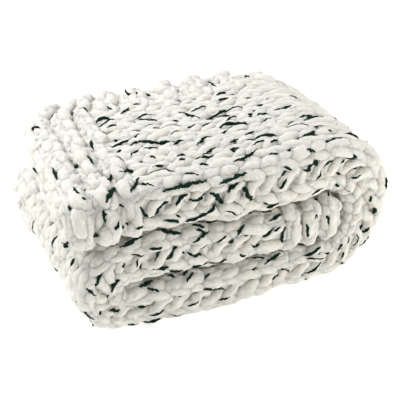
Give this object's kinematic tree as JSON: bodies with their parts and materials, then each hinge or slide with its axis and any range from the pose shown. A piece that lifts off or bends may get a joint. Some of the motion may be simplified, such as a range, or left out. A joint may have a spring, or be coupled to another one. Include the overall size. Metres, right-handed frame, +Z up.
{
  "type": "knit throw",
  "caption": "Folded super-chunky knit throw, cream chenille flecked with dark green, with ridged garter borders at both ends.",
  "frame": {"origin": "centre of the bounding box at the floor, under the folded stack", "axes": "+X along the long side of the folded stack toward the large open fold, -Y toward the rounded front fold, +Z up"},
  "size_m": [0.5892, 0.3522, 0.272],
  "materials": {
    "throw": "matt, deep soft chenille pile"
  },
  "bodies": {
    "root": {"throw": "throw"}
  },
  "joints": []
}
